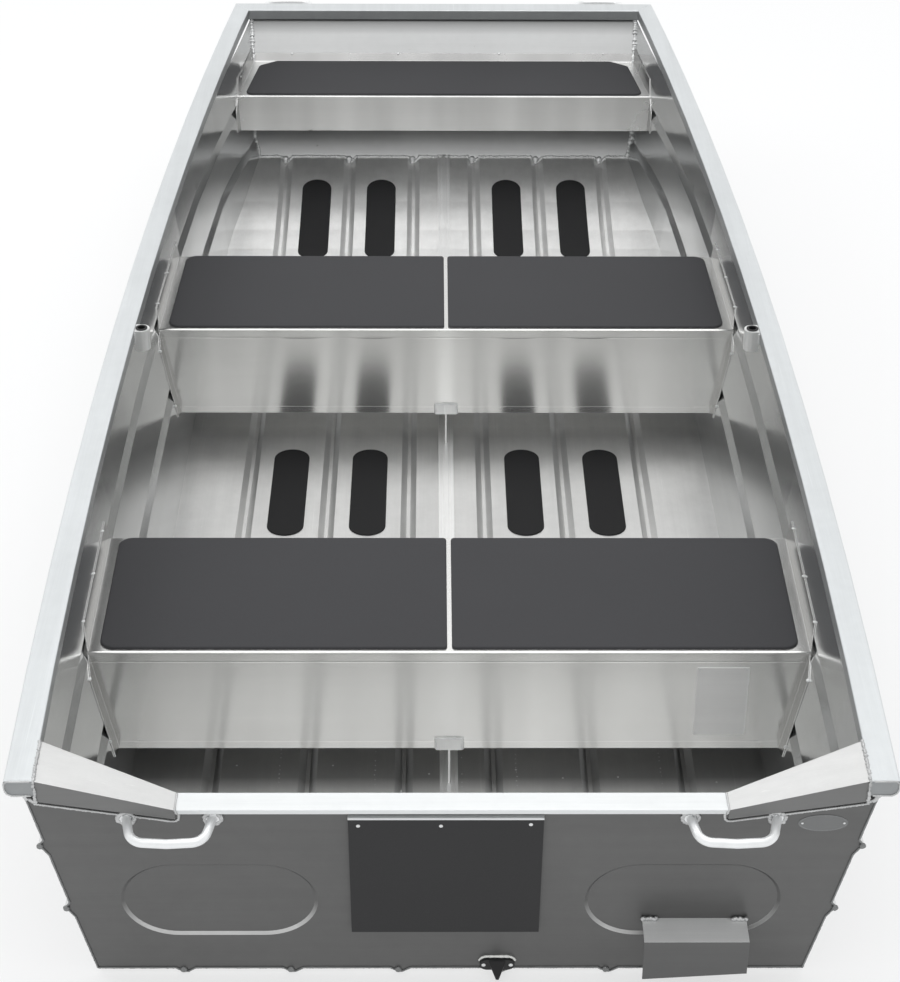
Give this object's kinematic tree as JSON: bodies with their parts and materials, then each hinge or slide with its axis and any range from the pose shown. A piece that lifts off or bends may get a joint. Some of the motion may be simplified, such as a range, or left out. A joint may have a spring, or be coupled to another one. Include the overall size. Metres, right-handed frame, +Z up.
{
  "type": "jon boat",
  "caption": "Flat-bottomed square-bowed aluminium boat with cross benches, padded seats, gunwale rowlock sockets and a transom for an outboard motor.",
  "frame": {"origin": "under the middle of the boat's overall length and beam, at the level the ribs of its bottom rest on", "axes": "+X to starboard, +Y towards the bow, +Z up"},
  "size_m": [1.496, 3.8194, 0.515],
  "materials": {
    "hull": "satin mill finish",
    "bench": "brushed",
    "gunwale": "pale anodised",
    "fittings": "satin",
    "pad": "matt foam sheet",
    "floor_strip": "matt textured sheet",
    "motor_pad": "matt",
    "bush": "matt",
    "drain": "satin"
  },
  "bodies": {
    "root": {"bow_bench": "bench", "bow_handle_port": "fittings", "bow_handle_starboard": "fittings", "bow_pad": "pad", "bow_plate": "hull", "drain_valve": "drain", "floor_strips_front": "floor_strip", "floor_strips_mid": "floor_strip", "gunwale_bow": "gunwale", "gunwale_end_port": "gunwale", "gunwale_end_starboard": "gunwale", "gunwale_port": "gunwale", "gunwale_starboard": "gunwale", "gusset_port": "fittings", "gusset_starboard": "fittings", "hull_bottom": "hull", "hull_side_port": "hull", "hull_side_starboard": "hull", "keel": "hull", "keel_channel": "hull", "mid_bench": "bench", "mid_pad_port": "pad", "mid_pad_starboard": "pad", "mid_prop": "fittings", "motor_pad": "motor_pad", "rowlock_bush_port": "bush", "rowlock_bush_starboard": "bush", "rowlock_port": "fittings", "rowlock_starboard": "fittings", "sounder_bracket": "fittings", "stern_bench": "bench", "stern_handle_port": "fittings", "stern_handle_starboard": "fittings", "stern_pad_port": "pad", "stern_pad_starboard": "pad", "stern_prop": "fittings", "transom": "hull", "transom_cap": "fittings"}
  },
  "joints": []
}
